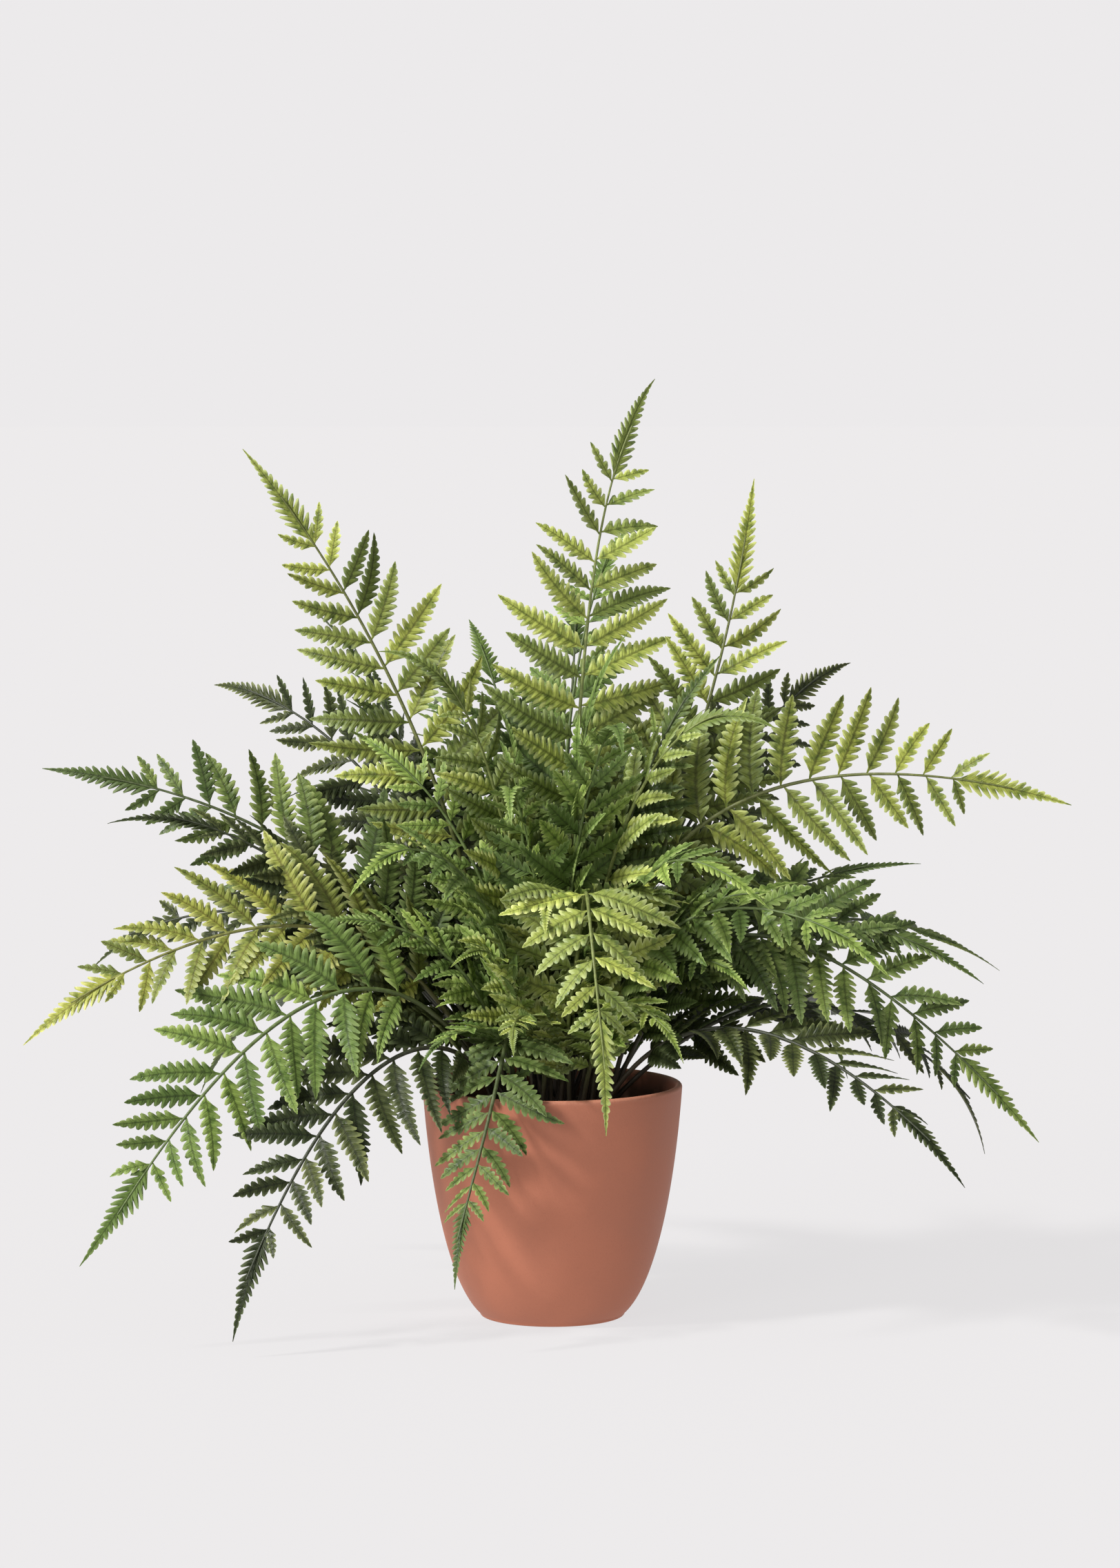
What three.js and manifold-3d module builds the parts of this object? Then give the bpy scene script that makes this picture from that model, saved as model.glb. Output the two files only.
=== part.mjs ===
// Potted fern: a terracotta pot, the soil in it, the fern's crown and the fronds that grow from it.
// Millimetres, +Z up. The origin is the middle of the pot's foot, on the surface it stands on.

import * as THREE from "three";
import { mergeVertices } from "three/addons/utils/BufferGeometryUtils.js";
import Module from "manifold-3d";

const wasm = await Module();
wasm.setup();

// Driving dimensions.
const POT_HEIGHT = 135;
const RIM_RADIUS = 75;
const FOOT_RADIUS = 42;
const FOOT_ROUNDING = 1.5;
const WALL = 4;
const WALL_PULLS = [[0.8, 0.13], [0.945, 0.55]]; // the wall curve's control points, of rim radius and height
const FLOOR = 6;
const SOIL_LEVEL = 116;
const CROWN_RADIUS = 44;
const CROWN_HEIGHT = 7;
const CROWN_SHOULDER = 0.8; // of its height
const CLEARANCE = 0.3; // between pieces that touch
const TURN_STEPS = 28; // facets around the pot, the soil and the crown
const WALL_STEPS = 9; // facets up the pot's wall
const LIP_STEPS = 4; // facets over its lip

const STALK_BASE_RADIUS = 1.5;
const STALK_TIP_RADIUS = 0.7;
const STALK_SIDES = 4;
const BARE_STEPS = 3; // the stalk's rings below the first pair of leaflets
const STALK_FOOT = SOIL_LEVEL + CROWN_HEIGHT + 2 * CLEARANCE;

const BLADE_LENGTH = 256; // the part of a long frond that bears leaflets
const BLADE_SHARE = 0.84; // the most of a short frond that does
const PAIRS = 6;
const PAIR_STEP = 0.13; // of the blade, between the first pairs
const PAIR_CLOSING = 0.0015; // of the blade, how much the steps shrink
const LONGEST_LEAFLET = 60;
const LEAFLET_SHORTENING = 0.6; // from the first pair to the last
const LEAFLET_WIDTH = 0.22; // of its length
const LEAFLET_THICKNESS = 2;
const TRIANGLE_WIDTH = Math.sqrt(3); // a triangle whose corners lie on a circle of radius 1
const TRIANGLE_HEIGHT = 1.5; // the same triangle
const LEAFLET_WIDEST = 0.28; // of its length, from the stalk
const LEAFLET_ANGLE = 62; // degrees to the stalk, for the first pair
const ANGLE_STEP = 2; // degrees less for each later pair
const LEAFLET_STAGGER = 1; // between the two of a pair
const DROOP = 0.12; // of its length, at a leaflet's tip
const END_LEAFLET_WIDTH = 15;
const LEAFLET_GAP = 0.4; // the least between two fronds
const REACHES = [1, 0.75, 0.5]; // the lengths tried for a leaflet that would touch something
const SURFACE_GAP = 4; // the least between a frond and the surface under the pot

// One row for each frond: azimuth, sway, crest radius, crest height, tip radius, tip height, roll.
// A frond leaves the crown at its azimuth, in degrees from +X, and its tip has swayed from there.
// The crest is the middle point of its arch, and a roll of 90 sets the blade upright.
const OUTER_BASE_RADIUS = 34;
const OUTER_FRONDS = [
  [195, 0, 105, 310, 310, 172, -60],
  [207, 0, 125, 300, 290, 50, -60],
  [219, 0, 110, 240, 232, 16, -40],
  [245, 3, 30, 240, 155, 45, 0],
  [300, 0, 60, 230, 150, 170, 0],
  [330, 0, 105, 235, 265, 100, 20],
  [344, 2, 75, 330, 284, 112, 50],
  [2, 0, 150, 250, 262, 100, 10],
  [22, 0, 120, 280, 290, 190, 20],
  [48, 0, 130, 280, 280, 120, 0],
  [72, 0, 110, 300, 280, 180, 0],
  [95, 0, 120, 260, 270, 90, 0],
  [118, 0, 110, 300, 290, 170, 0],
  [142, 0, 120, 270, 280, 110, -10],
  [168, 0, 120, 290, 285, 200, -40],
  [230, 0, 40, 200, 120, 160, 0],
  [352, 0, 90, 290, 250, 200, 30],
];
const MIDDLE_BASE_RADIUS = 22;
const MIDDLE_FRONDS = [
  [163, 12, 60, 350, 178, 500, -75],
  [152, 0, 90, 350, 238, 362, -70],
  [178, 0, 105, 300, 295, 316, -80],
  [189, 0, 150, 305, 255, 293, -30],
  [225, 0, 60, 330, 160, 260, -30],
  [282, 0, 70, 380, 155, 130, 0],
  [315, 0, 60, 330, 170, 250, 20],
  [268, 0, 30, 290, 115, 235, 0],
  [350, 0, 30, 370, 298, 302, 85],
  [12, 0, 40, 235, 220, 262, 20],
  [60, 0, 70, 330, 230, 330, 0],
  [85, 0, 60, 330, 170, 425, 0],
  [108, 0, 80, 350, 240, 350, 0],
  [132, 0, 80, 330, 240, 290, 0],
  [332, 0, 60, 300, 215, 215, 40],
];
const YOUNG_BASE_RADIUS = 28;
const YOUNG_FRONDS = [
  [36, 0, 40, 230, 125, 240, 10],
  [78, 0, 40, 240, 130, 250, 0],
  [125, 0, 40, 230, 135, 235, 0],
  [157, 0, 45, 230, 140, 225, -20],
  [200, 0, 40, 240, 145, 235, -40],
  [237, 0, 35, 240, 105, 215, -20],
  [257, 0, 30, 210, 100, 165, 0],
  [291, 0, 35, 230, 110, 215, 10],
  [307, 0, 35, 250, 120, 260, 20],
  [322, 0, 45, 240, 140, 205, 30],
  [337, 0, 45, 260, 150, 250, 40],
];
const INNER_BASE_RADIUS = 10;
const INNER_FRONDS = [
  [30, 0, 0, 480, 75, 540, 80],
  [10, 0, 95, 330, 118, 484, 80],
  [46, 0, 130, 330, 266, 372, 60],
  [68, 0, 10, 380, 120, 460, 0],
  [112, 0, 20, 350, 140, 400, 0],
  [140, 0, 120, 340, 175, 412, 20],
  [175, 0, 30, 300, 120, 340, -70],
  [200, 0, 20, 380, 100, 390, -60],
  [235, 0, 10, 340, 60, 370, -40],
  [255, 0, 20, 360, 95, 300, 0],
  [290, 0, 30, 400, 115, 335, 10],
  [310, 0, 10, 330, 60, 400, 60],
  [335, 0, 40, 380, 140, 350, 50],
  [353, 0, 30, 300, 95, 385, 70],
];

const TERRACOTTA = new THREE.MeshStandardMaterial({ color: 0xa96f59, roughness: 0.75 });
const SOIL = new THREE.MeshStandardMaterial({ color: 0x2b241c, roughness: 1 });
const ROOTSTOCK = new THREE.MeshStandardMaterial({ color: 0x3a3324, roughness: 0.9 });
const OUTER_GREEN = new THREE.MeshStandardMaterial({ color: 0x41552f, roughness: 0.6 });
const MIDDLE_GREEN = new THREE.MeshStandardMaterial({ color: 0x55703a, roughness: 0.6 });
const YOUNG_GREEN = new THREE.MeshStandardMaterial({ color: 0x4c6b35, roughness: 0.6 });
const INNER_GREEN = new THREE.MeshStandardMaterial({ color: 0x6f8a3f, roughness: 0.6 });

const fern = new THREE.Group();

function addMesh(name, geometry, material) {
  const mesh = new THREE.Mesh(geometry, material);
  mesh.name = name;
  fern.add(mesh);
}

// A profile of radius and height, turned about +Z.
function turned(profile) {
  return new THREE.LatheGeometry(profile, TURN_STEPS).rotateX(Math.PI / 2);
}

// The pot's outer wall, from the rounding of its foot to the start of its lip.
function wallPoints() {
  const pulls = WALL_PULLS.map(([out, up]) => new THREE.Vector2(out * RIM_RADIUS, up * POT_HEIGHT));
  const wall = new THREE.CubicBezierCurve(
    new THREE.Vector2(FOOT_RADIUS, FOOT_ROUNDING),
    ...pulls,
    new THREE.Vector2(RIM_RADIUS, POT_HEIGHT - WALL / 2),
  );
  return wall.getPoints(WALL_STEPS);
}

// The wall's inner side, drawn in by an amount, between the floor and a level.
function innerPoints(inset, bottom, top) {
  return wallPoints()
    .filter((point) => point.y > bottom && point.y <= top)
    .map((point) => new THREE.Vector2(point.x - inset, point.y));
}

// A thin round-lipped pot with a flat foot, open at the top.
function pot() {
  const half = WALL / 2;
  const lip = new THREE.EllipseCurve(RIM_RADIUS - half, POT_HEIGHT - half, half, half, 0, Math.PI);
  const inside = innerPoints(WALL, FLOOR, POT_HEIGHT - WALL).reverse();
  const corner = inside.at(-1);
  return turned([
    new THREE.Vector2(0, 0),
    new THREE.Vector2(FOOT_RADIUS - FOOT_ROUNDING, 0),
    ...wallPoints(),
    ...lip.getPoints(LIP_STEPS).slice(1),
    ...inside,
    new THREE.Vector2(corner.x - WALL, FLOOR),
    new THREE.Vector2(0, FLOOR),
  ]);
}

// The soil fills the pot to its level, a little lower at the wall.
function soil() {
  const side = innerPoints(WALL + CLEARANCE, FLOOR, SOIL_LEVEL);
  const bottom = FLOOR + CLEARANCE;
  return turned([
    new THREE.Vector2(0, bottom),
    new THREE.Vector2(side[0].x - WALL, bottom),
    ...side,
    new THREE.Vector2(CROWN_RADIUS + 2 * WALL, SOIL_LEVEL),
    new THREE.Vector2(0, SOIL_LEVEL),
  ]);
}

// A low mound with a level top, resting on the soil.
function crown() {
  const bottom = SOIL_LEVEL + CLEARANCE;
  return turned([
    new THREE.Vector2(0, bottom),
    new THREE.Vector2(CROWN_RADIUS, bottom),
    new THREE.Vector2(CROWN_RADIUS - CROWN_HEIGHT / 2, bottom + CROWN_SHOULDER * CROWN_HEIGHT),
    new THREE.Vector2(CROWN_RADIUS - CROWN_HEIGHT, bottom + CROWN_HEIGHT),
    new THREE.Vector2(0, bottom + CROWN_HEIGHT),
  ]);
}

function polar(radius, degrees, height) {
  const angle = THREE.MathUtils.degToRad(degrees);
  return new THREE.Vector3(radius * Math.cos(angle), radius * Math.sin(angle), height);
}

// The line that a frond's stalk follows, from a row of the lists above.
function frondArch(baseRadius, [azimuth, sway, crestRadius, crestHeight, tipRadius, tipHeight, roll]) {
  const curve = new THREE.QuadraticBezierCurve3(
    polar(baseRadius, azimuth, STALK_FOOT),
    polar(crestRadius, azimuth, crestHeight),
    polar(tipRadius, azimuth + sway, tipHeight),
  );
  return {
    curve,
    length: curve.getLength(),
    levelRight: polar(1, azimuth - 90, 0),
    roll: THREE.MathUtils.degToRad(roll),
  };
}

// Bends a shape that is modelled flat, with the stalk along +Y and the blade's upper face up, to an arch.
// The stalk's foot keeps a level end, which stands on the crown.
function bend(geometry, arch) {
  const place = geometry.attributes.position;
  for (let i = 0; i < place.count; i++) {
    const share = THREE.MathUtils.clamp(place.getY(i) / arch.length, 0, 1);
    const isFoot = place.getY(i) < CLEARANCE;
    const along = arch.curve.getTangentAt(share);
    const right = arch.levelRight.clone().projectOnPlane(along).normalize();
    right.applyAxisAngle(along, arch.roll);
    const up = new THREE.Vector3().crossVectors(right, along);
    const point = arch.curve.getPointAt(share);
    point.addScaledVector(right, place.getX(i)).addScaledVector(up, place.getZ(i));
    place.setXYZ(i, point.x, point.y, isFoot ? STALK_FOOT : point.z);
  }
  return geometry;
}

function solid(geometry) {
  geometry.deleteAttribute("normal");
  geometry.deleteAttribute("uv");
  const merged = mergeVertices(geometry, 1e-4);
  const vertProperties = new Float32Array(merged.attributes.position.array);
  const triVerts = new Uint32Array(merged.index.array);
  return new wasm.Manifold(new wasm.Mesh({ numProp: 3, vertProperties, triVerts }));
}

function fromSolid(body) {
  const mesh = body.getMesh();
  const geometry = new THREE.BufferGeometry();
  geometry.setAttribute("position", new THREE.BufferAttribute(mesh.vertProperties, 3));
  geometry.setIndex(new THREE.BufferAttribute(mesh.triVerts, 1));
  return geometry;
}

// How large a blade is beside a full one, and where each pair and the end leaflet sit along the stalk.
function bladePlan(length) {
  const blade = Math.min(BLADE_LENGTH, BLADE_SHARE * length);
  const pairPlace = (pair) => length - blade * (1 - PAIR_STEP * pair + PAIR_CLOSING * pair ** 2);
  return { scale: blade / BLADE_LENGTH, pairPlace, endPlace: pairPlace(PAIRS) };
}

// A tapered rod with a ring at each pair of leaflets, so that their roots lie inside it.
function stalk(arch) {
  const { pairPlace, endPlace } = bladePlan(arch.length);
  const rings = [];
  for (let step = 0; step < BARE_STEPS; step++) {
    rings.push(pairPlace(0) * step / BARE_STEPS);
  }
  for (let pair = 0; pair <= PAIRS; pair++) {
    rings.push(pairPlace(pair));
  }
  rings.push(endPlace + LEAFLET_WIDEST * (arch.length - endPlace));
  const steps = rings.length - 1;
  const rod = new THREE.CylinderGeometry(STALK_TIP_RADIUS, STALK_BASE_RADIUS, steps, STALK_SIDES, steps);
  const place = rod.translate(0, steps / 2, 0).attributes.position;
  for (let i = 0; i < place.count; i++) {
    place.setY(i, rings[Math.round(place.getY(i))]);
  }
  return solid(bend(rod, arch));
}

// A creased leaflet along +Y: three-sided, pointed at both ends and widest near the stalk.
function leaflet(length, width, droop) {
  const geometry = new THREE.SphereGeometry(1, 3, 2).rotateY(Math.PI / 2);
  const place = geometry.attributes.position;
  for (let i = 0; i < place.count; i++) {
    const share = [0, LEAFLET_WIDEST, 1][Math.round(place.getY(i)) + 1];
    const x = place.getX(i) * width / TRIANGLE_WIDTH;
    const z = place.getZ(i) * LEAFLET_THICKNESS / TRIANGLE_HEIGHT - share * droop * length;
    place.setXYZ(i, x, share * length, z);
  }
  return geometry;
}

// The leaflets of one frond, as functions of the share of its full length that each may reach.
function leafletMakers(arch) {
  const { scale, pairPlace, endPlace } = bladePlan(arch.length);
  const makers = [];
  for (let pair = 0; pair < PAIRS; pair++) {
    const full = LONGEST_LEAFLET * scale * (1 - LEAFLET_SHORTENING * (pair / PAIRS) ** 2);
    const angle = THREE.MathUtils.degToRad(LEAFLET_ANGLE - ANGLE_STEP * pair);
    for (const side of [-1, 1]) {
      const place = pairPlace(pair) + (side > 0 ? LEAFLET_STAGGER : 0);
      makers.push((reach) => {
        const shape = leaflet(reach * full, LEAFLET_WIDTH * full, DROOP);
        return solid(bend(shape.rotateZ(-side * angle).translate(0, place, 0), arch));
      });
    }
  }
  const endLength = arch.length - endPlace;
  makers.push((reach) => {
    const shape = leaflet(reach * endLength, END_LEAFLET_WIDTH * scale, 0);
    return solid(bend(shape.translate(0, endPlace, 0), arch));
  });
  return makers;
}

function boxesApart(a, b) {
  const gaps = [0, 1, 2].map((axis) => Math.max(a.min[axis] - b.max[axis], b.min[axis] - a.max[axis]));
  return Math.max(...gaps) > LEAFLET_GAP;
}

// True where a body keeps its gap to every other frond's pieces, to the pot and to the surface.
function isClear(body, owner, pieces) {
  const box = body.boundingBox();
  if (box.min[2] < SURFACE_GAP) {
    return false;
  }
  return pieces.every((other) => other.owner === owner
    || boxesApart(box, other.box)
    || body.minGap(other.body, LEAFLET_GAP) >= LEAFLET_GAP);
}

// Every stalk is there first, and then each leaflet grows as far as its neighbours leave it room.
function growFronds(archs, obstacles) {
  const pieces = obstacles.map((body) => ({ owner: null, body, box: body.boundingBox() }));
  for (const arch of archs) {
    const body = stalk(arch);
    pieces.push({ owner: arch, body, box: body.boundingBox() });
  }
  for (const arch of archs) {
    for (const makeLeaflet of leafletMakers(arch)) {
      const body = REACHES.map(makeLeaflet).find((shape) => isClear(shape, arch, pieces));
      if (body) {
        pieces.push({ owner: arch, body, box: body.boundingBox() });
      }
    }
  }
  return archs.map((arch) => wasm.Manifold.union(
    pieces.filter((piece) => piece.owner === arch).map((piece) => piece.body),
  ));
}

const potGeometry = pot();
const crownGeometry = crown();
const rings = [
  { name: "outer_frond", baseRadius: OUTER_BASE_RADIUS, rows: OUTER_FRONDS, material: OUTER_GREEN },
  { name: "middle_frond", baseRadius: MIDDLE_BASE_RADIUS, rows: MIDDLE_FRONDS, material: MIDDLE_GREEN },
  { name: "young_frond", baseRadius: YOUNG_BASE_RADIUS, rows: YOUNG_FRONDS, material: YOUNG_GREEN },
  { name: "inner_frond", baseRadius: INNER_BASE_RADIUS, rows: INNER_FRONDS, material: INNER_GREEN },
];
const fronds = rings.flatMap(({ name, baseRadius, rows, material }) => rows.map((row, index) => ({
  name: `${name}_${String(index + 1).padStart(2, "0")}`,
  arch: frondArch(baseRadius, row),
  material,
})));

addMesh("pot", potGeometry, TERRACOTTA);
addMesh("potting_soil", soil(), SOIL);
addMesh("crown", crownGeometry, ROOTSTOCK);
const obstacles = [potGeometry, crownGeometry].map((geometry) => solid(geometry.clone()));
const bodies = growFronds(fronds.map((frond) => frond.arch), obstacles);
fronds.forEach((frond, index) => addMesh(frond.name, fromSolid(bodies[index]), frond.material));

export default fern;
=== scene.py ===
"""Potted fern: a terracotta pot, its soil, a scaly crown and the fronds that grow from it.

Laid out as an add-on: property groups hold the sizes and colours, each piece has an operator,
and main() runs them in order. Metres, +Z up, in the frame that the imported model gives.
"""
import math

import bpy
import numpy as np
from bpy.props import FloatProperty, FloatVectorProperty, IntProperty, PointerProperty
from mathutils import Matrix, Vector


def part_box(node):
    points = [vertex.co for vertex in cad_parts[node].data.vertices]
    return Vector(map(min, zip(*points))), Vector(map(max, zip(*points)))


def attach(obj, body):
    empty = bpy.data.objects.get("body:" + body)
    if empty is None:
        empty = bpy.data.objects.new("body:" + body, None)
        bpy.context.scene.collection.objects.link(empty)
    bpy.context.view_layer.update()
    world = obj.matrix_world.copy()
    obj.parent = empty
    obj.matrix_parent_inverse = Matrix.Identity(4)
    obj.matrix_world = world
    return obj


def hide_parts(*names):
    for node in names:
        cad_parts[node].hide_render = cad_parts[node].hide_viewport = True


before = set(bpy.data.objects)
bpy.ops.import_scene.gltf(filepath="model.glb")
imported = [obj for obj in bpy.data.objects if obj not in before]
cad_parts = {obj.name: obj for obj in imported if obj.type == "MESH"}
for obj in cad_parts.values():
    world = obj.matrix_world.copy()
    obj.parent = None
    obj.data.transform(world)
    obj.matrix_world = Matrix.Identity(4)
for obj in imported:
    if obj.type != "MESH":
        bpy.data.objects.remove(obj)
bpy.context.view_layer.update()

bl_info = {
    "name": "Potted Fern",
    "version": (1, 0, 0),
    "blender": (4, 5, 0),
    "location": "View3D > Sidebar > Fern",
    "description": "Builds a potted fern around its packed frame",
    "category": "Object",
}

POT_LOW, POT_HIGH = (np.array(corner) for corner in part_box("pot"))
SOIL_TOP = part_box("potting_soil")[1][2]
CROWN_LOW, CROWN_HIGH = (np.array(corner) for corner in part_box("crown"))
RIM_RADIUS = float(POT_HIGH[0])
POT_HEIGHT = float(POT_HIGH[2])
CROWN_TOP = float(CROWN_HIGH[2])
CROWN_RADIUS = float(CROWN_HIGH[0])

FOOT_ROUNDING = 0.0015      # radius of the rounded edge under the pot
PINHOLE = 0.0006            # radius of the ring that closes a turned surface on its axis
SOIL_BROWNS = ((0.008, 0.006, 0.004), (0.055, 0.038, 0.022))      # dark, pale
CROWN_BROWNS = ((0.020, 0.013, 0.007), (0.110, 0.070, 0.030))     # dark, pale
INNER_SHADE_BROWN = (0.030, 0.024, 0.014)     # painted shade on the pot's inner wall, under the leaves
SPECK_BROWN = (0.160, 0.090, 0.020)     # dry specks on a leaf
DARKER = (0.45, 0.52, 0.48)             # times a leaf's colour, where it is mottled or dark of tint
LIGHTER = (1.55, 1.45, 1.25)            # times a leaf's colour, where it is light of tint
FOOT_BROWN = (0.040, 0.028, 0.016)      # a stalk where it leaves the crown

# One row for each frond: azimuth, sway, crest radius, crest height, tip radius, tip height, roll, tone.
# A frond leaves the crown at its azimuth, in degrees from +X, and its tip has swayed from there.
# The crest is the middle point of its arch, and a roll of 90 sets the blade upright.
OUTER_FRONDS = [
    (195, 0, 0.105, 0.310, 0.310, 0.172, -60, "golden"),
    (207, 0, 0.125, 0.300, 0.290, 0.050, -60, "grassy"),
    (219, 0, 0.110, 0.240, 0.232, 0.016, -40, "shaded"),
    (245, 3, 0.030, 0.240, 0.155, 0.045, 0, "deep"),
    (300, 0, 0.060, 0.230, 0.150, 0.170, 0, "lime"),
    (330, 0, 0.105, 0.235, 0.265, 0.100, 20, "shaded"),
    (344, 2, 0.075, 0.330, 0.284, 0.112, 50, "deep"),
    (2, 0, 0.150, 0.250, 0.262, 0.100, 10, "shaded"),
    (22, 0, 0.120, 0.280, 0.290, 0.190, 20, "deep"),
    (48, 0, 0.130, 0.280, 0.280, 0.120, 0, "deep"),
    (72, 0, 0.110, 0.300, 0.280, 0.180, 0, "grassy"),
    (95, 0, 0.120, 0.260, 0.270, 0.090, 0, "shaded"),
    (118, 0, 0.110, 0.300, 0.290, 0.170, 0, "grassy"),
    (142, 0, 0.120, 0.270, 0.280, 0.110, -10, "deep"),
    (168, 0, 0.120, 0.290, 0.285, 0.200, -40, "shaded"),
    (230, 0, 0.040, 0.200, 0.120, 0.160, 0, "grassy"),
    (352, 0, 0.090, 0.290, 0.250, 0.200, 30, "deep"),
]
MIDDLE_FRONDS = [
    (163, 12, 0.060, 0.350, 0.178, 0.500, -75, "olive"),
    (152, 0, 0.090, 0.350, 0.238, 0.362, -70, "shaded"),
    (178, 0, 0.105, 0.300, 0.295, 0.316, -80, "deep"),
    (189, 0, 0.150, 0.305, 0.255, 0.293, -30, "shaded"),
    (225, 0, 0.060, 0.330, 0.160, 0.260, -30, "grassy"),
    (282, 0, 0.070, 0.380, 0.155, 0.130, 0, "fresh"),
    (315, 0, 0.060, 0.330, 0.170, 0.250, 20, "grassy"),
    (268, 0, 0.030, 0.290, 0.115, 0.235, 0, "fresh"),
    (350, 0, 0.030, 0.370, 0.298, 0.302, 85, "olive"),
    (12, 0, 0.040, 0.235, 0.220, 0.262, 20, "deep"),
    (60, 0, 0.070, 0.330, 0.230, 0.330, 0, "grassy"),
    (85, 0, 0.060, 0.330, 0.170, 0.425, 0, "deep"),
    (108, 0, 0.080, 0.350, 0.240, 0.350, 0, "grassy"),
    (132, 0, 0.080, 0.330, 0.240, 0.290, 0, "deep"),
    (332, 0, 0.060, 0.300, 0.215, 0.215, 40, "grassy"),
]
YOUNG_FRONDS = [
    (36, 0, 0.040, 0.230, 0.125, 0.240, 10, "grassy"),
    (78, 0, 0.040, 0.240, 0.130, 0.250, 0, "deep"),
    (125, 0, 0.040, 0.230, 0.135, 0.235, 0, "grassy"),
    (157, 0, 0.045, 0.230, 0.140, 0.225, -20, "deep"),
    (200, 0, 0.040, 0.240, 0.145, 0.235, -40, "grassy"),
    (237, 0, 0.035, 0.240, 0.105, 0.215, -20, "lime"),
    (257, 0, 0.030, 0.210, 0.100, 0.165, 0, "fresh"),
    (291, 0, 0.035, 0.230, 0.110, 0.215, 10, "fresh"),
    (307, 0, 0.035, 0.250, 0.120, 0.260, 20, "fresh"),
    (322, 0, 0.045, 0.240, 0.140, 0.205, 30, "grassy"),
    (337, 0, 0.045, 0.260, 0.150, 0.250, 40, "grassy"),
]
INNER_FRONDS = [
    (30, 0, 0.000, 0.480, 0.075, 0.540, 80, "fresh"),
    (10, 0, 0.095, 0.330, 0.118, 0.484, 80, "olive"),
    (46, 0, 0.130, 0.330, 0.266, 0.372, 60, "shaded"),
    (68, 0, 0.010, 0.380, 0.120, 0.460, 0, "grassy"),
    (112, 0, 0.020, 0.350, 0.140, 0.400, 0, "grassy"),
    (140, 0, 0.120, 0.340, 0.175, 0.412, 20, "deep"),
    (175, 0, 0.030, 0.300, 0.120, 0.340, -70, "grassy"),
    (200, 0, 0.020, 0.380, 0.100, 0.390, -60, "fresh"),
    (235, 0, 0.010, 0.340, 0.060, 0.370, -40, "grassy"),
    (255, 0, 0.020, 0.360, 0.095, 0.300, 0, "grassy"),
    (290, 0, 0.030, 0.400, 0.115, 0.335, 10, "grassy"),
    (310, 0, 0.010, 0.330, 0.060, 0.400, 60, "grassy"),
    (335, 0, 0.040, 0.380, 0.140, 0.350, 50, "fresh"),
    (353, 0, 0.030, 0.300, 0.095, 0.385, 70, "deep"),
]
# Name, radius of the stalks' feet on the crown, rows, material slot.
RINGS = [
    ("outer_frond", 0.034, OUTER_FRONDS, "outer_fronds"),
    ("middle_frond", 0.022, MIDDLE_FRONDS, "middle_fronds"),
    ("young_frond", 0.028, YOUNG_FRONDS, "young_fronds"),
    ("inner_frond", 0.010, INNER_FRONDS, "inner_fronds"),
]
# Leaf body, lobe edge and midrib colours of each tone. The midrib colour is the midrib's own dark olive,
# deepened as painted shade for the crease along it.
TONES = {
    "fresh": ((0.248, 0.302, 0.070), (0.380, 0.435, 0.180), (0.080, 0.098, 0.020)),
    "lime": ((0.200, 0.272, 0.050), (0.370, 0.440, 0.160), (0.064, 0.086, 0.015)),
    "golden": ((0.215, 0.245, 0.052), (0.360, 0.385, 0.150), (0.100, 0.095, 0.020)),
    "olive": ((0.176, 0.212, 0.043), (0.325, 0.375, 0.145), (0.060, 0.066, 0.014)),
    "grassy": ((0.142, 0.212, 0.048), (0.245, 0.320, 0.108), (0.046, 0.070, 0.014)),
    "deep": ((0.092, 0.134, 0.034), (0.168, 0.215, 0.074), (0.030, 0.041, 0.010)),
    # The shaded tone is painted shade: a darkened copy of the leaf colours, given to fronds that sit in
    # shade.
    "shaded": ((0.036, 0.047, 0.014), (0.118, 0.140, 0.058), (0.013, 0.017, 0.006)),
}


# Settings

def length_property(name, description, default):
    """A length in metres."""
    return FloatProperty(name=name, description=description, default=default, unit="LENGTH")


def colour_property(name, description, default):
    """A linear colour."""
    return FloatVectorProperty(name=name, description=description, default=default, subtype="COLOR")


class FernPotSettings(bpy.types.PropertyGroup):
    """The pot, its soil and the crown."""
    wall: length_property("Wall", "Thickness of the pot's wall", 0.004)
    foot_radius: length_property("Foot radius", "Radius of the pot's foot", 0.042)
    floor: length_property("Floor", "Thickness of the pot's floor", 0.006)
    clay: colour_property("Clay", "Colour of the fired clay", (0.445, 0.158, 0.092))
    clay_worn: colour_property("Worn clay", "Paler clay on the lip", (0.520, 0.230, 0.150))
    crumbs: IntProperty(name="Crumbs", description="Loose crumbs of soil on the surface", default=420)
    scales: IntProperty(name="Scales", description="Papery scales on the crown", default=260)


class FernFrondSettings(bpy.types.PropertyGroup):
    """The fronds: their blades, leaflets and stalks."""
    blade_length: length_property("Blade", "Part of a long frond that bears leaflets", 0.256)
    blade_share: FloatProperty(
        name="Blade share", description="Most of a short frond that bears leaflets", default=0.84)
    pairs: IntProperty(name="Pairs", description="Pairs of leaflets on a blade", default=12)
    leaflet_length: length_property("Leaflet", "Length of the longest leaflet", 0.065)
    leaflet_width: FloatProperty(
        name="Leaflet width", description="Width of a leaflet over its length", default=0.305)
    lobe_pitch: length_property("Lobe pitch", "Distance between two lobes of a leaflet", 0.0050)
    end_width: length_property("End leaflet", "Width of the leaflet at a frond's tip", 0.019)
    thickness: length_property("Thickness", "Leaf thickness at the midrib", 0.0007)
    stalk_radius: length_property("Stalk", "Radius of a stalk at its foot", 0.0014)
    seed: IntProperty(name="Seed", description="Seed of the fronds' small differences", default=7)


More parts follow.
